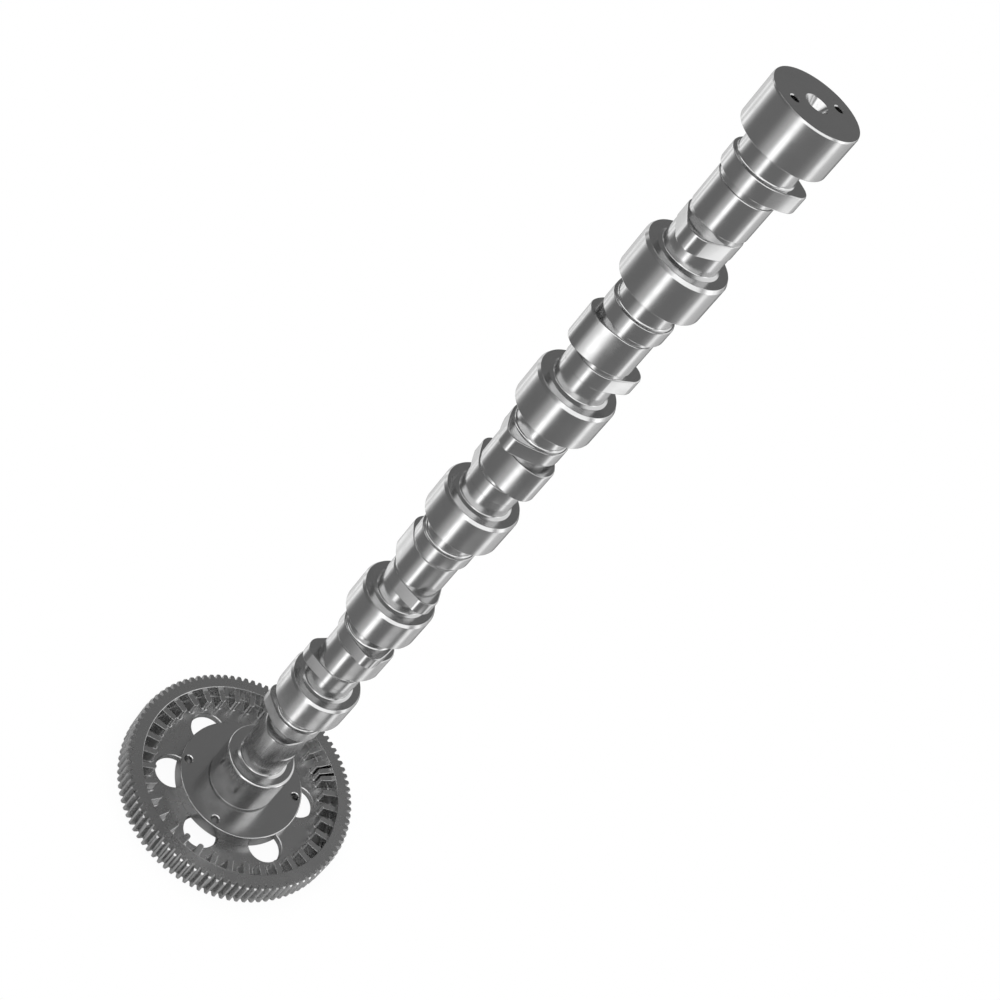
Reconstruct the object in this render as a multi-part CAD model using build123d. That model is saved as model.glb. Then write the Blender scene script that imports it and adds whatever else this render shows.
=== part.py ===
from build123d import *
from math import acos, cos, degrees, pi, radians, sin, tan
import os

# Camshaft of an inline six-cylinder heavy diesel engine, with its spur gear shrunk on.
# The gear's back face lies on z = 0, the shaft's axis is Z, and the free end points up.
# Azimuths are clockwise from +Y, seen from above. Sizes in mm, angles in degrees.

# Engine layout
cylinders = 6
bore_pitch = 160.0
firing_order = (1, 5, 3, 6, 2, 4)

# Bearing journals
journal_radius = 40.0
journal_length = 40.0
middle_bevel = (1.8, 3.5)
gear_end_bevel = (2.7, 3.2)
gear_end_journal_length = 53.5
free_end_bevel = (0.6, 1.7)

# Necks and the relief groove at the flange
neck_radius = 26.6
neck_length = 21.5
root_taper_size = 3.2
flange_relief_width = 3.0
flange_relief_depth = 1.6

# Lobes, in the order they follow each journal towards the gear:
# width, gap before the lobe behind, base radius, nose radius, height of the nose tip,
# azimuth of cylinder 1's nose. The core between them has the injector lobe's base radius.
intake_lobe = dict(width=16.5, gap=5.5, base=30.3, nose=14.1, tip=39.7, azimuth=319.0)
injector_lobe = dict(width=36.0, gap=4.0, base=27.2, nose=19.0, tip=38.0, azimuth=237.0)
exhaust_lobe = dict(width=16.5, gap=0.0, base=27.2, nose=14.5, tip=39.1, azimuth=65.0)

# Free end
centre_hole_radius = 10.5
centre_hole_depth = 24.0
centre_cone_angle = 60.0
end_hole_radius = 3.9
end_hole_depth = 22.0
end_hole_circle = 24.5
end_hole_azimuth = 91.0

# Flange and the stub behind it
flange_radius = 73.5
flange_thickness = 17.0
flange_bevel = 1.8
flange_hole_radius = 4.6
flange_hole_edge = 8.5
flange_hole_azimuths = (117.0, 228.5, 299.5)
stub_radius = 32.0
stub_setback = 1.0
shrink_fit_clearance = 0.02

# Gear
teeth = 96
gear_module = 2.75
profile_shift = 0.3
pressure_angle = 20.0
tooth_azimuth = 2.13
gear_width = 32.0
rim_inner_radius = 117.8
rim_edge_bevel = 0.8
web_back = 4.0
web_thickness = 8.0
hub_radius = 50.0
bore_bevel = 1.2
lightening_holes = 6
lightening_hole_radius = 20.3
lightening_hole_circle = 75.8
lightening_hole_azimuth = 232.0

# Ring of lugs inside the rim
lugs = 36
lug_azimuth = 6.4
index_lug_azimuth = 91.4
lug_width = 6.8
lug_inner_radius = 100.5
lug_setback = 4.0
lug_root_overlap = 3.0
pocket_depth = 4.0

# Stations along the axis
web_front = web_back + web_thickness
flange_front = web_front + flange_thickness
gear_end_journal_front = flange_front + gear_end_journal_length
overall_length = gear_end_journal_front + cylinders * bore_pitch

# Radii that follow from others
flange_hole_circle = flange_radius - flange_hole_edge
pitch_radius = gear_module * teeth / 2
tip_radius = pitch_radius + gear_module * (1 + profile_shift)
root_radius = pitch_radius - gear_module * (1.25 - profile_shift)


def at(radius, azimuth):
    """The point at a radius and azimuth round the shaft's axis."""
    return (radius * sin(radians(azimuth)), radius * cos(radians(azimuth)))


def rod(radius, bottom, top):
    """A plain cylinder on the shaft's axis between two stations."""
    return Pos(0, 0, bottom) * extrude(Circle(radius), top - bottom)


def turned(edges):
    """A solid turned round Z from a closed outline in the XZ plane."""
    return revolve(make_face(edges), Axis.Z)


def journal(front, length, bevel):
    """A bearing journal behind its front station, with its own bevel in front."""
    back = front - length
    outline = Polyline((0, back), (journal_radius, back), (journal_radius, front - bevel[1]),
                       (journal_radius - bevel[0], front), (0, front), close=True)
    return turned(Plane.XZ * outline)


def root_taper(face):
    """The tapered root of a neck on a journal's front face."""
    top = face + root_taper_size
    foot = neck_radius + root_taper_size
    outline = Polyline((0, face), (foot, face), (neck_radius, top), (0, top), close=True)
    return turned(Plane.XZ * outline)


def lobe_outline(base, nose, tip):
    """A base circle and a nose circle joined by their two outer tangents, nose towards +Y."""
    centre = tip - nose
    flank = acos((base - nose) / centre)
    side, rise = sin(flank), cos(flank)
    heel_right, heel_left = (base * side, base * rise), (-base * side, base * rise)
    nose_right, nose_left = (nose * side, centre + nose * rise), (-nose * side, centre + nose * rise)
    edges = ThreePointArc(heel_right, (0, -base), heel_left) + Line(heel_left, nose_left)
    edges += ThreePointArc(nose_left, (0, tip), nose_right) + Line(nose_right, heel_right)
    return make_face(edges)


def lobe(form, front, order_angle):
    """A lobe between its front station and one width behind."""
    outline = lobe_outline(form["base"], form["nose"], form["tip"])
    body = Pos(0, 0, front - form["width"]) * extrude(outline, form["width"])
    return Rot(0, 0, -(form["azimuth"] + order_angle)) * body


def cylinder_group(number, journal_front):
    """The three lobes that follow a journal towards the gear, with the core between them."""
    order_angle = firing_order.index(number) * 360 / cylinders
    front = journal_front - journal_length - neck_length
    core_front = front - intake_lobe["width"]
    solids = []
    for form in (intake_lobe, injector_lobe, exhaust_lobe):
        solids.append(lobe(form, front, order_angle))
        core_back = front - form["width"]
        front = core_back - form["gap"]
    return solids + [rod(injector_lobe["base"], core_back, core_front)]


def flange():
    """The gear flange, its relief groove at the journal's root, and the stub behind it."""
    groove_top = flange_front + flange_relief_width
    groove_radius = journal_radius - flange_relief_depth
    outline = Polyline(
        (0, stub_setback), (stub_radius, stub_setback), (stub_radius, web_front), (flange_radius, web_front),
        (flange_radius, flange_front - flange_bevel), (flange_radius - flange_bevel, flange_front),
        (groove_radius, flange_front), (groove_radius, groove_top), (0, groove_top), close=True)
    return turned(Plane.XZ * outline)


def free_end_holes():
    """The centre hole with its cone, and the pair of blind holes beside it."""
    top = overall_length
    bottom = top - centre_hole_depth
    cone = centre_hole_radius / tan(radians(centre_cone_angle / 2))
    pilot = centre_hole_radius / 2
    outline = Polyline((0, bottom), (pilot, bottom), (pilot, top - cone / 2), (centre_hole_radius, top),
                       (0, top), close=True)
    cutters = [turned(Plane.XZ * outline)]
    for side in (0, 180):
        hole = rod(end_hole_radius, top - end_hole_depth, top)
        cutters.append(Pos(at(end_hole_circle, end_hole_azimuth + side)) * hole)
    return cutters


def camshaft():
    """The shaft, forged in one piece with its lobes and its flange."""
    solids = [rod(neck_radius, flange_front, overall_length - journal_length), flange()]
    bevels = [gear_end_bevel] + [middle_bevel] * (cylinders - 1) + [free_end_bevel]
    lengths = [gear_end_journal_length - flange_relief_width] + [journal_length] * cylinders
    for number, (length, bevel) in enumerate(zip(lengths, bevels)):
        front = gear_end_journal_front + number * bore_pitch
        solids.append(journal(front, length, bevel))
        if number > 0:
            solids += cylinder_group(number, front)
        if number < cylinders:
            solids.append(root_taper(front))
    shaft = solids[0].fuse(*solids[1:])
    cutters = free_end_holes()
    hole = rod(flange_hole_radius, web_front, flange_front)
    cutters += [Pos(at(flange_hole_circle, azimuth)) * hole for azimuth in flange_hole_azimuths]
    return shaft.cut(*cutters)


def half_gap(radius):
    """Half the angle between two involute flanks across a tooth space, at a radius."""
    slope = tan(radians(pressure_angle))
    half_tooth = degrees(pi / 2 + 2 * profile_shift * slope) / teeth
    roll = acos(pitch_radius * cos(radians(pressure_angle)) / radius)
    involute = degrees(tan(roll) - roll) - degrees(slope - radians(pressure_angle))
    return 180 / teeth - half_tooth + involute


def toothed_outline():
    """The gear's outline: for each tooth space a flank, the root and the other flank, then the tip."""
    pitch = 360 / teeth
    radii = (tip_radius, (root_radius + tip_radius) / 2, root_radius)
    corners = []
    for number in range(teeth):
        space = tooth_azimuth + (number + 0.5) * pitch
        corners += [at(radius, space - half_gap(radius)) for radius in radii]
        corners += [at(radius, space + half_gap(radius)) for radius in reversed(radii)]
    return make_face(Polyline(*corners, close=True))


def gear_section():
    """The gear's turned section: rim, lug pocket, web, hub and bore, cut off beyond the tooth tips."""
    bore = stub_radius + shrink_fit_clearance
    floor = web_front - pocket_depth
    outside = tip_radius + gear_module
    return Polyline(
        (bore, bore_bevel), (bore + bore_bevel, 0), (hub_radius, 0), (hub_radius, web_back),
        (rim_inner_radius, web_back), (rim_inner_radius, 0), (outside, 0), (outside, gear_width),
        (rim_inner_radius + rim_edge_bevel, gear_width), (rim_inner_radius, gear_width - rim_edge_bevel),
        (rim_inner_radius, floor), (lug_inner_radius, floor), (lug_inner_radius, web_front),
        (bore, web_front), close=True)


def lug():
    """One lug on +Y: a short bar that runs inwards from the rim."""
    floor = web_front - pocket_depth
    bottom = floor - lug_root_overlap / 2
    length = rim_inner_radius + lug_root_overlap - lug_inner_radius
    outline = Pos(0, lug_inner_radius + length / 2) * Rectangle(lug_width, length)
    return Pos(0, 0, bottom) * extrude(outline, gear_width - lug_setback - bottom)


def cam_gear():
    """The spur gear with its web, lightening holes and ring of lugs."""
    blank = extrude(toothed_outline(), gear_width) & turned(Plane.XZ * gear_section())
    azimuths = [lug_azimuth + number * 360 / lugs for number in range(lugs)] + [index_lug_azimuth]
    bar = lug()
    gear = blank.fuse(*[Rot(0, 0, -azimuth) * bar for azimuth in azimuths])
    hole = rod(lightening_hole_radius, web_back, web_front)
    cutters = []
    for number in range(lightening_holes):
        azimuth = lightening_hole_azimuth + number * 360 / lightening_holes
        cutters.append(Pos(at(lightening_hole_circle, azimuth)) * hole)
    return gear.cut(*cutters)


def main():
    os.makedirs("parts", exist_ok=True)
    export_step(camshaft(), "parts/camshaft.step")
    export_step(cam_gear(), "parts/cam_gear.step")


main()
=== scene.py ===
import bpy
import bmesh
from math import acos, atan2, cos, degrees, hypot, pi, radians, sin, tan
from mathutils import Matrix


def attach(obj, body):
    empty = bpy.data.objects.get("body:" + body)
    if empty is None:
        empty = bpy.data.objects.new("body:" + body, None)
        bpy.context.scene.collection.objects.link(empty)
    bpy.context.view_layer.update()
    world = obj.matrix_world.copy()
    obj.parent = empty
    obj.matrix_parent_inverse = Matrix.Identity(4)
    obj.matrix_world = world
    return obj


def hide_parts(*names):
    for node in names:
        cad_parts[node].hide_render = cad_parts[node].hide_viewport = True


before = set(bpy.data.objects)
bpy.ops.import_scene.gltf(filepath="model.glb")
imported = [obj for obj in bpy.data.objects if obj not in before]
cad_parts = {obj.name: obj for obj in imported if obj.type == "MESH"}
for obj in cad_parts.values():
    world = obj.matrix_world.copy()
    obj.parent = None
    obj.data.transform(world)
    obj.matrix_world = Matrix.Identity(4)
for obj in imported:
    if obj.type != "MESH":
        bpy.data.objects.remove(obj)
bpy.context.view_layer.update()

mm = 0.001  # pieces are drawn in millimetres and scaled once
weld = 0.002  # points closer than this, in mm, are merged
near = 0.01  # how close counts as the same place, in mm or degrees


# Camera: placed by its eye and the directions of its right, up and back axes
view = dict(
    eye=(-0.9295, -0.6839, 1.4831),
    right=(0.77063, -0.37806, 0.51303),
    up=(0.0, 0.80503, 0.59324),
    back=(-0.63728, -0.45717, 0.62038),
    lens=58.14, sensor=36.0, farEnd=20.0,
)


def addCamera():
    data = bpy.data.cameras.new("camera")
    data.lens = view["lens"]
    data.sensor_width = view["sensor"]
    data.clip_end = view["farEnd"]
    camera = bpy.data.objects.new("camera", data)
    turn = Matrix((view["right"], view["up"], view["back"])).transposed()
    camera.matrix_world = Matrix.Translation(view["eye"]) @ turn.to_4x4()
    bpy.context.scene.collection.objects.link(camera)
    bpy.context.scene.camera = camera


# Studio: a dim room with soft panels, told by azimuth and elevation in degrees. A panel is full
# up to half degrees beside its azimuth and from low to high, and fades out over soft and fade.
# Metal reflects the panels, and matt surfaces get one plain level.
room = dict(
    level=0.22, plain=0.8,
    panels=[
        # the main highlight and its soft side
        dict(azimuth=235.5, half=2.5, soft=9, low=-75, high=21, fade=7, strength=2.1),
        dict(azimuth=247, half=1, soft=30, low=-75, high=12, fade=14, strength=0.55),
        # the band along the right edge
        dict(azimuth=110, half=22, soft=12, low=-70, high=-2, fade=14, strength=0.5),
        dict(azimuth=134, half=4, soft=8, low=-70, high=12, fade=8, strength=1.0),
        dict(azimuth=134, half=10, soft=30, low=-36, high=12, fade=10, strength=0.25),
        # light from below
        dict(azimuth=172, half=6, soft=16, low=-75, high=-48, fade=8, strength=1.0),
        dict(azimuth=180, half=180, soft=1, low=-90, high=-12, fade=10, strength=0.05),
        # bevels and round edges
        dict(azimuth=194, half=32, soft=10, low=-4, high=30, fade=6, strength=1.7),
        dict(azimuth=112, half=30, soft=12, low=2, high=56, fade=8, strength=1.2),
        dict(azimuth=262, half=54, soft=14, low=32, high=44, fade=4, strength=2.2),
        # two stripes and a band along the left edge
        dict(azimuth=345, half=2, soft=6, low=-70, high=10, fade=12, strength=0.9),
        dict(azimuth=4, half=1.5, soft=6, low=-70, high=-8, fade=14, strength=0.8),
        dict(azimuth=6, half=22, soft=26, low=-70, high=-8, fade=14, strength=0.8),
    ],
)


class NodeKit:
    def __init__(self, tree):
        self.tree = tree
        tree.nodes.clear()

    # An input goes by its name, or by i and its number
    def add(self, kind, settings=None, **inputs):
        node = self.tree.nodes.new(kind)
        for name, value in (settings or {}).items():
            setattr(node, name, value)
        for name, value in inputs.items():
            number = name[1:]
            socket = node.inputs[int(number) if number.isdigit() else name.replace("_", " ")]
            if isinstance(value, bpy.types.NodeSocket):
                self.tree.links.new(value, socket)
            else:
                socket.default_value = value
        return node

    def math(self, operation, first, second=0.0, third=0.0):
        node = self.add("ShaderNodeMath", dict(operation=operation), i0=first, i1=second, i2=third)
        return node.outputs[0]

    def ramp(self, value, start, end, low, high):
        node = self.add("ShaderNodeMapRange", dict(interpolation_type="SMOOTHSTEP"),
                        i0=value, i1=start, i2=end, i3=low, i4=high)
        return node.outputs[0]

    def length(self, vector):
        node = self.add("ShaderNodeVectorMath", dict(operation="LENGTH"), i0=vector)
        return node.outputs["Value"]

    def mixLevels(self, factor, first, second):
        node = self.add("ShaderNodeMix", dict(data_type="FLOAT"), i0=factor, i2=first, i3=second)
        return node.outputs[0]

    def mixShaders(self, factor, first, second):
        return self.add("ShaderNodeMixShader", i0=factor, i1=first, i2=second).outputs[0]

    # Rays from the camera, and rays that metal or glass sends on
    def rays(self):
        ray = self.add("ShaderNodeLightPath").outputs
        mirrored = self.math("MAXIMUM", ray["Is Glossy Ray"], ray["Is Transmission Ray"])
        return ray["Is Camera Ray"], mirrored


def panelLight(kit, azimuth, elevation, panel):
    turned = kit.math("SUBTRACT", azimuth, panel["azimuth"])
    away = kit.math("ABSOLUTE", kit.math("WRAP", turned, 180.0, -180.0))
    across = kit.ramp(away, panel["half"], panel["half"] + panel["soft"], panel["strength"], 0.0)
    above = kit.ramp(elevation, panel["low"] - panel["fade"], panel["low"], 0.0, 1.0)
    below = kit.ramp(elevation, panel["high"], panel["high"] + panel["fade"], 1.0, 0.0)
    return kit.math("MULTIPLY", across, kit.math("MULTIPLY", above, below))


def addRoom():
    bpy.context.scene.view_settings.view_transform = "Standard"
    world = bpy.data.worlds.new("room")
    bpy.context.scene.world = world
    world.use_nodes = True
    kit = NodeKit(world.node_tree)
    direction = kit.add("ShaderNodeTexCoord").outputs["Generated"]
    way = kit.add("ShaderNodeSeparateXYZ", i0=direction).outputs
    azimuth = kit.math("DEGREES", kit.math("ARCTAN2", way[0], way[1]))
    elevation = kit.math("DEGREES", kit.math("ARCSINE", way[2]))
    light = room["level"]
    for panel in room["panels"]:
        light = kit.math("ADD", light, panelLight(kit, azimuth, elevation, panel))
    seen, mirrored = kit.rays()
    level = kit.mixLevels(mirrored, room["plain"], light)
    level = kit.mixLevels(seen, level, 1.0)
    back = kit.add("ShaderNodeBackground", Strength=level)
    kit.add("ShaderNodeOutputWorld", Surface=back.outputs[0])


# Floor: pale, with the part's soft contact shadow painted into its glow from ambient occlusion.
# Metal sees it only close to the part.
floor = dict(
    size=30.0, pale=0.9, seenTo=0.15, goneBy=0.24,
    shade=0.96, reach=0.06, shadeFrom=0.2, shadeTo=0.9, samples=8,
)


def addFloor():
    mesh = bpy.data.meshes.new("floor")
    shape = bmesh.new()
    bmesh.ops.create_grid(shape, x_segments=1, y_segments=1, size=floor["size"] / 2)
    shape.to_mesh(mesh)
    shape.free()
    plane = bpy.data.objects.new("floor", mesh)
    bpy.context.scene.collection.objects.link(plane)
    material = bpy.data.materials.new("paleFloor")
    material.use_nodes = True
    kit = NodeKit(material.node_tree)
    exposed = kit.add("ShaderNodeAmbientOcclusion", dict(samples=floor["samples"]),
                      Distance=floor["reach"]).outputs["AO"]
    # painted shadow: the white glow is dimmed where ambient occlusion finds the part close by
    glow = kit.ramp(exposed, floor["shadeFrom"], floor["shadeTo"], floor["shade"], 1.0)
    white = kit.add("ShaderNodeEmission", Strength=glow).outputs[0]
    paint = kit.add("ShaderNodeBsdfDiffuse", Color=(*[floor["pale"]] * 3, 1.0)).outputs[0]
    clear = kit.add("ShaderNodeBsdfTransparent").outputs[0]
    away = kit.length(kit.add("ShaderNodeTexCoord").outputs["Object"])
    faded = kit.ramp(away, floor["seenTo"], floor["goneBy"], 0.0, 1.0)
    seen, mirrored = kit.rays()
    mixed = kit.mixShaders(kit.math("MULTIPLY", mirrored, faded), paint, clear)
    kit.add("ShaderNodeOutputMaterial", Surface=kit.mixShaders(seen, mixed, white))
    mesh.materials.append(material)


# Steel: bright metal with turning marks round the shaft's axis. A mark is mark mm deep, and the
# grain changes the colour by tint and the roughness by vary.
steels = dict(
    groundSteel=dict(colour=0.56, tint=0.03, roughness=0.20, vary=0.06,
                     lines=900.0, mark=0.010, grain=60.0),
    gearSteel=dict(colour=0.54, tint=0.06, roughness=0.26, vary=0.08,
                   lines=600.0, mark=0.015, grain=60.0),
)
noise = dict(low=0.3, high=0.7, lineDetail=3.0, grainDetail=4.0, bump=0.35)


def makeSteel(name):
    look = steels[name]
    material = bpy.data.materials.new(name)
    material.use_nodes = True
    kit = NodeKit(material.node_tree)
    place = kit.add("ShaderNodeTexCoord").outputs["Object"]
    part = kit.add("ShaderNodeSeparateXYZ", i0=place).outputs
    radius = kit.length(kit.add("ShaderNodeCombineXYZ", i0=part[0], i1=part[1], i2=0.0).outputs[0])
    rings = kit.add("ShaderNodeCombineXYZ", i0=radius, i1=0.0, i2=part[2]).outputs[0]
    lines = kit.add("ShaderNodeTexNoise", Vector=rings, Scale=look["lines"],
                    Detail=noise["lineDetail"]).outputs[0]
    grain = kit.add("ShaderNodeTexNoise", Vector=place, Scale=look["grain"],
                    Detail=noise["grainDetail"]).outputs[0]
    rough = kit.ramp(grain, noise["low"], noise["high"],
                     look["roughness"] - look["vary"] / 2, look["roughness"] + look["vary"] / 2)
    tone = kit.ramp(grain, noise["low"], noise["high"],
                    look["colour"] + look["tint"] / 2, look["colour"] - look["tint"] / 2)
    bump = kit.add("ShaderNodeBump", Strength=noise["bump"], Distance=look["mark"] * mm,
                   Height=lines).outputs[0]
    metal = kit.add("ShaderNodeBsdfPrincipled", Base_Color=tone, Metallic=1.0, Roughness=rough,
                    Normal=bump)
    kit.add("ShaderNodeOutputMaterial", Surface=metal.outputs[0])
    return material


materials = {name: makeSteel(name) for name in steels}


# Shared shape tools: lengths in mm, drawn on the +X side of the shaft's axis and then turned
# to their azimuth, which runs clockwise from +Y
cutter = dict(steps=48, rise=2.0, below=1.0)
shading = dict(sharpAngle=32, level=0.9999)


def roundOff(shape, geom, size, segments=3, affect="EDGES"):
    bmesh.ops.bevel(shape, geom=geom, offset=size, offset_type="OFFSET", segments=segments,
                    profile=0.5, affect=affect, clamp_overlap=True, material=-1)


# Joins points of (x, y, z, round) by edges, and rounds the corners that have a size
def drawOutline(shape, points):
    corners = [shape.verts.new(point[:3]) for point in points]
    for first, second in zip(corners, corners[1:]):
        shape.edges.new((first, second))
    for corner, point in zip(corners, points):
        if point[3] > 0:
            roundOff(shape, [corner], point[3], affect="VERTICES")


# Turns (radius, height, round) points round the axis
def turnProfile(points, steps):
    shape = bmesh.new()
    drawOutline(shape, [(radius, 0.0, height, size) for radius, height, size in points])
    bmesh.ops.spin(shape, geom=shape.verts[:] + shape.edges[:], cent=(0, 0, 0), axis=(0, 0, 1),
                   dvec=(0, 0, 0), angle=2 * pi, steps=steps, use_merge=True, use_duplicate=False)
    bmesh.ops.remove_doubles(shape, verts=shape.verts, dist=weld)
    bmesh.ops.recalc_face_normals(shape, faces=shape.faces)
    return shape


def turnTo(shape, azimuth):
    turn = Matrix.Rotation(radians(90 - azimuth), 3, "Z")
    bmesh.ops.rotate(shape, cent=(0, 0, 0), matrix=turn, verts=shape.verts)


def addShape(shape, other):
    mesh = bpy.data.meshes.new("part")
    other.to_mesh(mesh)
    other.free()
    shape.from_mesh(mesh)
    bpy.data.meshes.remove(mesh)


def makeObject(name, shape):
    mesh = bpy.data.meshes.new(name)
    shape.to_mesh(mesh)
    shape.free()
    made = bpy.data.objects.new(name, mesh)
    bpy.context.scene.collection.objects.link(made)
    return made


def combine(shape, other, operation):
    first, second = makeObject("first", shape), makeObject("second", other)
    change = first.modifiers.new("change", "BOOLEAN")
    change.operation = operation
    change.solver = "EXACT"
    change.object = second
    evaluated = first.evaluated_get(bpy.context.evaluated_depsgraph_get())
    mesh = bpy.data.meshes.new_from_object(evaluated)
    result = bmesh.new()
    result.from_mesh(mesh)
    for used in (first, second):
        data = used.data
        bpy.data.objects.remove(used)
        bpy.data.meshes.remove(data)
    bpy.data.meshes.remove(mesh)
    return result


# Adds the cutter of a countersunk hole to a shape
def addHole(shape, radius, rim, circle, azimuth, bottom, top):
    above = top + cutter["rise"]
    points = [(0, bottom, 0), (radius, bottom, 0), (radius, top - rim, 0), (radius + rim, top, 0),
              (radius + rim, above, 0), (0, above, 0)]
    hole = turnProfile(points, cutter["steps"])
    bmesh.ops.translate(hole, vec=(circle, 0, 0), verts=hole.verts)
    turnTo(hole, azimuth)
    addShape(shape, hole)


def finishPiece(name, shape, steel, node):
    bmesh.ops.remove_doubles(shape, verts=shape.verts, dist=weld)
    bmesh.ops.dissolve_degenerate(shape, edges=shape.edges, dist=weld)
    bmesh.ops.recalc_face_normals(shape, faces=shape.faces)
    bmesh.ops.scale(shape, vec=(mm, mm, mm), verts=shape.verts)
    for face in shape.faces:
        face.smooth = True
    for edge in shape.edges:
        level = [abs(face.normal.z) > shading["level"] for face in edge.link_faces]
        gentle = edge.calc_face_angle(0.0) < radians(shading["sharpAngle"])
        edge.smooth = gentle and (all(level) or not any(level))
    piece = makeObject(name, shape)
    piece.data.materials.append(materials[steel])
    weigh = piece.modifiers.new("weigh", "WEIGHTED_NORMAL")
    weigh.keep_sharp = True
    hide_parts(node)
    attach(piece, "root")
    print("made", name, len(piece.data.polygons), "faces")


# Camshaft: a turned body with three lobes a cylinder. A bevel or taper is its depth and its
# length along the axis, and flanks are the radii of a lobe's two sides.
shaft = dict(
    steps=120, cylinders=6, pitch=160.0, firingOrder=(1, 5, 3, 6, 2, 4), edge=0.3,
    journal=40.0, journalLength=40.0, backRound=0.8, middleBevel=(1.8, 3.5),
    gearEndLength=53.5, gearEndRound=3.0, gearEndBackRound=0.6, freeEndBevel=(0.6, 1.7),
    neck=26.6, neckLength=21.5, rootTaper=(3.0, 2.0), rootRounds=(0.4, 0.7),
    backRoot=2.0, lobeRoot=2.2, lobeOverlap=0.2,
    core=25.9, coreBack=6.0, coreFront=8.0, coreStep=1.0,
    lobes=dict(
        intake=dict(width=16.5, gap=5.5, base=30.3, nose=14.1, tip=39.7,
                    flanks=(120, 120), azimuth=319.0),
        injector=dict(width=36.0, gap=4.0, base=27.2, nose=19.0, tip=38.0,
                      flanks=(80, 45), azimuth=237.0),
        exhaust=dict(width=16.5, gap=0.0, base=27.2, nose=14.5, tip=39.1,
                     flanks=(200, 200), azimuth=65.0),
    ),
    lobeEdge=1.2, lobeEdgeSegments=2, arcStep=3.0,
    centreHole=10.5, centreDepth=24.0, cone=60.0, drillPoint=2.0, coneRounds=(0.4, 0.2),
    endHole=3.9, endHoleDepth=22.0, endHoleCircle=24.5, endHoleAzimuth=91.0, holeRim=0.8,
    flange=73.5, flangeBack=12.0, flangeFront=29.0, flangeRound=1.4, flangeBackRound=0.5,
    relief=38.4, reliefWidth=3.0,
    flangeHole=4.6, flangeHoleCircle=65.0, flangeHoleAzimuths=(117.0, 228.5, 299.5),
    stub=32.0, stubBack=1.0, stubBevel=1.5,
)


# The stub, the flange and the back of the first journal
def flangeProfile():
    s = shaft
    reliefTop = s["flangeFront"] + s["reliefWidth"]
    return [
        (0, s["stubBack"], 0), (s["stub"], s["stubBack"], s["stubBevel"]),
        (s["stub"], s["flangeBack"], 0), (s["flange"], s["flangeBack"], s["flangeBackRound"]),
        (s["flange"], s["flangeFront"], s["flangeRound"]),
        (s["relief"], s["flangeFront"], s["edge"]), (s["relief"], reliefTop, s["edge"]),
        (s["journal"], reliefTop, s["gearEndBackRound"]),
    ]


# From a journal's front to the back of the next: neck roots, and the core inside the lobes
def cylinderProfile(front):
    s = shaft
    nextBack = front + s["pitch"] - s["journalLength"]
    lobesFront = nextBack - s["neckLength"]
    lobesBack = lobesFront - sum(lobe["width"] + lobe["gap"] for lobe in s["lobes"].values())
    rootFoot = lobesFront - s["lobeOverlap"]
    flare = s["neck"] + s["lobeRoot"] + s["lobeOverlap"]
    coreBack, coreFront = lobesBack + s["coreBack"], rootFoot - s["coreFront"]
    return [
        (s["neck"] + s["rootTaper"][0], front, s["rootRounds"][0]),
        (s["neck"], front + s["rootTaper"][1], s["rootRounds"][1]),
        (s["neck"], coreBack, 0), (s["core"], coreBack + s["coreStep"], 0),
        (s["core"], coreFront, 0), (flare, coreFront + s["coreStep"], 0),
        (flare, rootFoot, 0), (s["neck"], rootFoot, s["lobeRoot"]),
        (s["neck"], nextBack, s["backRoot"]), (s["journal"], nextBack, s["backRound"]),
    ]


def shaftProfile():
    s = shaft
    front = s["flangeFront"] + s["gearEndLength"]
    points = flangeProfile() + [(s["journal"], front, s["gearEndRound"])]
    for number in range(1, s["cylinders"] + 1):
        points += cylinderProfile(front)
        front += s["pitch"]
        bevel = s["freeEndBevel"] if number == s["cylinders"] else s["middleBevel"]
        points += [(s["journal"], front - bevel[1], s["edge"]),
                   (s["journal"] - bevel[0], front, s["edge"])]
    depth = s["centreHole"] / tan(radians(s["cone"] / 2))
    pilot = s["centreHole"] / 2
    points += [(s["centreHole"], front, s["coneRounds"][0]),
               (pilot, front - depth / 2, s["coneRounds"][1]),
               (pilot, front - s["centreDepth"], 0),
               (0, front - s["centreDepth"] - s["drillPoint"], 0)]
    return points, front


# A side arc that touches the base and nose circles: its centre, and where it meets them
def flankArc(form, flank):
    toBase, toNose = flank - form["base"], flank - form["nose"]
    noseAt = form["tip"] - form["nose"]
    atBase = pi - acos((toBase ** 2 + noseAt ** 2 - toNose ** 2) / (2 * toBase * noseAt))
    centre = (-toBase * cos(atBase), -toBase * sin(atBase))
    atNose = atan2(-centre[1], noseAt - centre[0])
    return centre, atBase, atNose


def makeLobe(form, front, azimuth):
    rise, riseBase, riseNose = flankArc(form, form["flanks"][0])
    fall, fallBase, fallNose = flankArc(form, form["flanks"][1])
    arcs = [(rise, riseBase - riseNose), ((form["tip"] - form["nose"], 0), riseNose + fallNose),
            ((fall[0], -fall[1]), fallBase - fallNose), ((0, 0), 2 * pi - riseBase - fallBase)]
    shape = bmesh.new()
    start = (form["base"] * cos(riseBase), form["base"] * sin(riseBase))
    ends = [shape.verts.new((*start, height)) for height in (front - form["width"], front)]
    last = ends + [shape.edges.new(ends)]
    for centre, angle in arcs:
        steps = max(2, round(degrees(angle) / shaft["arcStep"]))
        last = bmesh.ops.spin(shape, geom=last, cent=(*centre, 0), axis=(0, 0, 1),
                              dvec=(0, 0, 0), angle=-angle, steps=steps, use_merge=False,
                              use_duplicate=False)["geom_last"]
    bmesh.ops.remove_doubles(shape, verts=shape.verts, dist=near)
    rims = [edge for edge in shape.edges if edge.is_boundary]
    bmesh.ops.holes_fill(shape, edges=rims, sides=0)
    bmesh.ops.recalc_face_normals(shape, faces=shape.faces)
    roundOff(shape, rims, shaft["lobeEdge"], segments=shaft["lobeEdgeSegments"])
    turnTo(shape, azimuth)
    return shape


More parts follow.
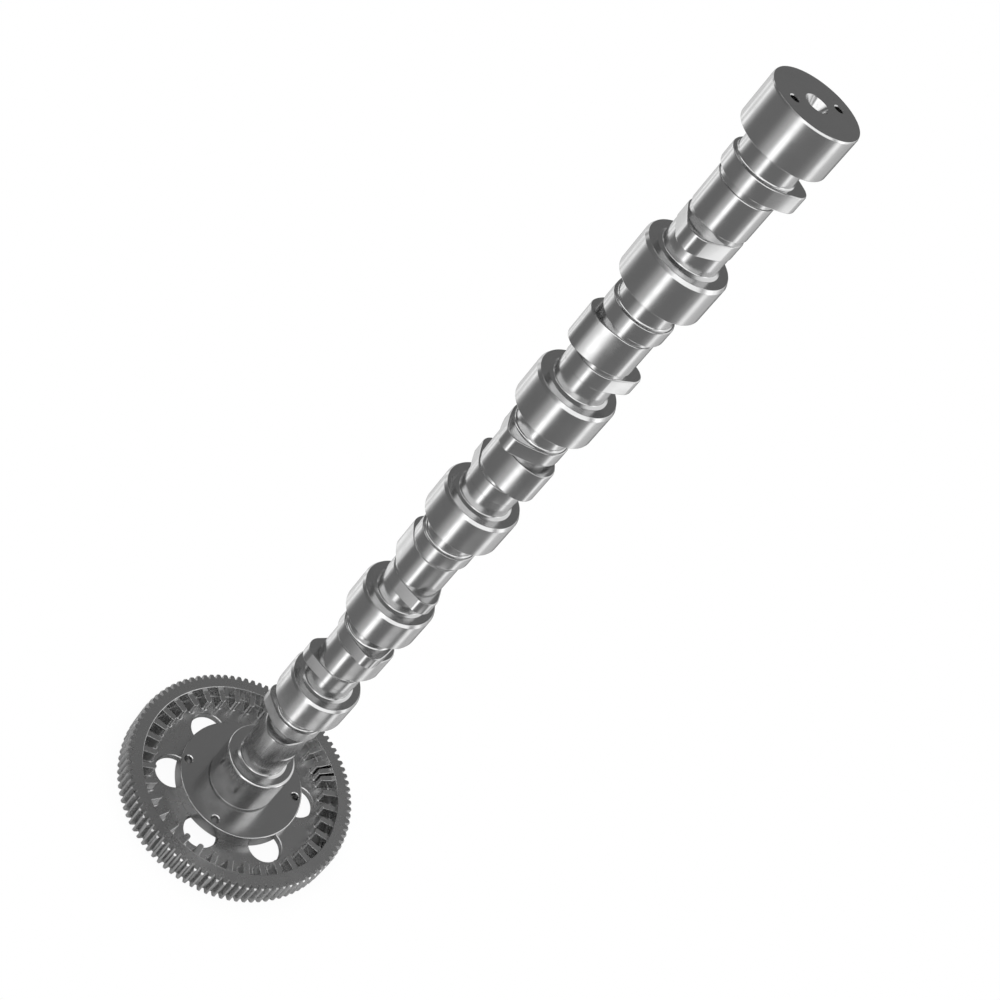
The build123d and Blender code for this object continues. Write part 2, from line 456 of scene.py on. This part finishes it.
def makeCamshaft():
    s = shaft
    points, top = shaftProfile()
    body = turnProfile(points, s["steps"])
    print("shaft turned")
    lobes = bmesh.new()
    groupsFrom = s["flangeFront"] + s["gearEndLength"] - s["journalLength"] - s["neckLength"]
    for number in range(1, s["cylinders"] + 1):
        order = s["firingOrder"].index(number) * 360 / s["cylinders"]
        front = groupsFrom + number * s["pitch"]
        for form in s["lobes"].values():
            addShape(lobes, makeLobe(form, front, form["azimuth"] + order))
            front -= form["width"] + form["gap"]
    body = combine(body, lobes, "UNION")
    print("lobes joined")
    holes = bmesh.new()
    for side in (0, 180):
        addHole(holes, s["endHole"], s["holeRim"], s["endHoleCircle"], s["endHoleAzimuth"] + side,
                top - s["endHoleDepth"], top)
    for azimuth in s["flangeHoleAzimuths"]:
        addHole(holes, s["flangeHole"], s["holeRim"], s["flangeHoleCircle"], azimuth,
                s["flangeBack"] - cutter["below"], s["flangeFront"])
    body = combine(body, holes, "DIFFERENCE")
    finishPiece("camshaftBody", body, "groundSteel", "camshaft")


# Cam gear: a toothed rim, a thin web with a ring of lugs, and a hub
gear = dict(
    teeth=96, module=2.75, shift=0.3, dedendum=1.25, pressureAngle=20.0, toothAzimuth=2.13,
    width=32.0, tipChamfer=1.6, flankPoints=5,
    rimJoin=120.5, rimInner=117.8, rimEdge=0.8,
    webBack=4.0, webFront=12.0, webRound=2.5, webBackRound=1.5,
    hub=50.0, hubRound=0.8, bore=32.02, boreBevel=1.2,
    holes=6, hole=20.3, holeCircle=75.8, holeAzimuth=232.0, holeRim=0.8,
    lugs=36, lugAzimuth=6.4, indexLugAzimuth=91.4, lugWidth=6.8, lugInner=100.5, lugOuter=120.3,
    lugTop=28.0, lugEdge=0.6, lugFoot=1.6, lugSkirt=1.7, skirtSunk=0.03, lugDepth=1.0, lugSteps=10,
)


# Half the angle between two involute flanks across a tooth space, at a radius
def halfGap(radius):
    g = gear
    pitchRadius = g["module"] * g["teeth"] / 2
    slope = tan(radians(g["pressureAngle"]))
    halfTooth = degrees(pi / 2 + 2 * g["shift"] * slope) / g["teeth"]
    roll = acos(pitchRadius * cos(radians(g["pressureAngle"])) / radius)
    involute = degrees(tan(roll) - roll) - degrees(slope - radians(g["pressureAngle"]))
    return 180 / g["teeth"] - halfTooth + involute


# One tooth is extruded, opened where it meets the rim and its neighbours, chamfered and copied
def makeTeeth():
    g = gear
    half = 180 / g["teeth"]
    pitchRadius = g["module"] * g["teeth"] / 2
    tip = pitchRadius + g["module"] * (1 + g["shift"])
    root = pitchRadius - g["module"] * (g["dedendum"] - g["shift"])
    join = g["rimJoin"]
    last = g["flankPoints"] - 1
    flank = [root + (tip - root) * step / last for step in range(g["flankPoints"])]
    side = [(radius, half - halfGap(radius)) for radius in flank]
    outline = [(join, -half), (root, -half)] + [(radius, -angle) for radius, angle in side]
    outline += [(radius, angle) for radius, angle in reversed(side)]
    outline += [(root, half), (join, half), (join, 0)]
    shape = bmesh.new()
    corners = [shape.verts.new((radius * cos(radians(angle)), radius * sin(radians(angle)), 0))
               for radius, angle in outline]
    base = shape.faces.new(corners)
    made = bmesh.ops.extrude_face_region(shape, geom=[base], use_keep_orig=True)["geom"]
    bmesh.ops.translate(shape, vec=(0, 0, g["width"]),
                        verts=[part for part in made if isinstance(part, bmesh.types.BMVert)])
    hidden = []
    for face in shape.faces:
        centre = face.calc_center_median()
        atSide = abs(degrees(atan2(centre.y, centre.x))) > half - near
        atJoin = hypot(centre.x, centre.y) < join + near
        if atSide or atJoin:
            hidden.append(face)
    bmesh.ops.delete(shape, geom=hidden, context="FACES")
    tips = [edge for edge in shape.edges if abs(edge.verts[0].co.z - edge.verts[1].co.z) < near
            and all(hypot(corner.co.x, corner.co.y) > tip - near for corner in edge.verts)]
    roundOff(shape, tips, g["tipChamfer"], segments=1)
    copies = g["teeth"] - 1
    bmesh.ops.spin(shape, geom=shape.verts[:] + shape.edges[:] + shape.faces[:], cent=(0, 0, 0),
                   axis=(0, 0, 1), dvec=(0, 0, 0), angle=2 * pi * copies / g["teeth"],
                   steps=copies, use_merge=False, use_duplicate=True)
    bmesh.ops.remove_doubles(shape, verts=shape.verts, dist=weld)
    return shape


# A lug's section is spun round its inner end, and both ends are drawn out to the rim
def makeLug(azimuth):
    g = gear
    half, foot, top = g["lugWidth"] / 2, g["webFront"], g["lugTop"]
    skirt, bottom = half + g["lugSkirt"], foot - g["lugDepth"]
    endAt = g["lugInner"] + half
    shape = bmesh.new()
    drawOutline(shape, [
        (endAt, 0, top, 0), (endAt, half, top, g["lugEdge"]), (endAt, half, foot, g["lugFoot"]),
        (endAt, skirt, foot - g["skirtSunk"], 0), (endAt, skirt, bottom, 0), (endAt, 0, bottom, 0),
    ])
    section = shape.verts[:] + shape.edges[:]
    spun = bmesh.ops.spin(shape, geom=section, cent=(endAt, 0, 0), axis=(0, 0, 1), dvec=(0, 0, 0),
                          angle=pi, steps=g["lugSteps"], use_merge=False,
                          use_duplicate=False)["geom_last"]
    for side in (section, spun):
        edges = [part for part in side if isinstance(part, bmesh.types.BMEdge)]
        made = bmesh.ops.extrude_edge_only(shape, edges=edges)["geom"]
        bmesh.ops.translate(shape, vec=(g["lugOuter"] - endAt, 0, 0),
                            verts=[part for part in made if isinstance(part, bmesh.types.BMVert)])
    bmesh.ops.remove_doubles(shape, verts=shape.verts, dist=weld)
    rims = [edge for edge in shape.edges if edge.is_boundary]
    bmesh.ops.holes_fill(shape, edges=rims, sides=0)
    bmesh.ops.recalc_face_normals(shape, faces=shape.faces)
    turnTo(shape, azimuth)
    return shape


def makeGear():
    g = gear
    boreEdge = g["bore"] + g["boreBevel"]
    points = [
        (g["rimJoin"], g["width"], 0), (g["rimInner"], g["width"], g["rimEdge"]),
        (g["rimInner"], g["webFront"], g["webRound"]), (boreEdge, g["webFront"], 0),
        (g["bore"], g["webFront"] - g["boreBevel"], 0), (g["bore"], g["boreBevel"], 0),
        (boreEdge, 0, 0), (g["hub"], 0, g["hubRound"]),
        (g["hub"], g["webBack"], g["webBackRound"]),
        (g["rimInner"], g["webBack"], g["webBackRound"]), (g["rimInner"], 0, g["rimEdge"]),
        (g["rimJoin"], 0, 0),
    ]
    body = turnProfile(points, 2 * g["teeth"])
    addShape(body, makeTeeth())
    bmesh.ops.remove_doubles(body, verts=body.verts, dist=weld)
    bmesh.ops.recalc_face_normals(body, faces=body.faces)
    turnTo(body, g["toothAzimuth"])
    print("gear cut", sum(1 for edge in body.edges if len(edge.link_faces) != 2), "open edges")
    lugs = bmesh.new()
    for number in range(g["lugs"]):
        addShape(lugs, makeLug(g["lugAzimuth"] + number * 360 / g["lugs"]))
    body = combine(body, lugs, "UNION")
    # The index lug's foot overlaps its neighbours, so it is joined on its own
    body = combine(body, makeLug(g["indexLugAzimuth"]), "UNION")
    print("lugs joined")
    holes = bmesh.new()
    for number in range(g["holes"]):
        addHole(holes, g["hole"], g["holeRim"], g["holeCircle"],
                g["holeAzimuth"] + number * 360 / g["holes"],
                g["webBack"] - cutter["below"], g["webFront"])
    body = combine(body, holes, "DIFFERENCE")
    finishPiece("camGearBody", body, "gearSteel", "cam_gear")


addCamera()
addRoom()
addFloor()
print("studio ready")
makeCamshaft()
makeGear()
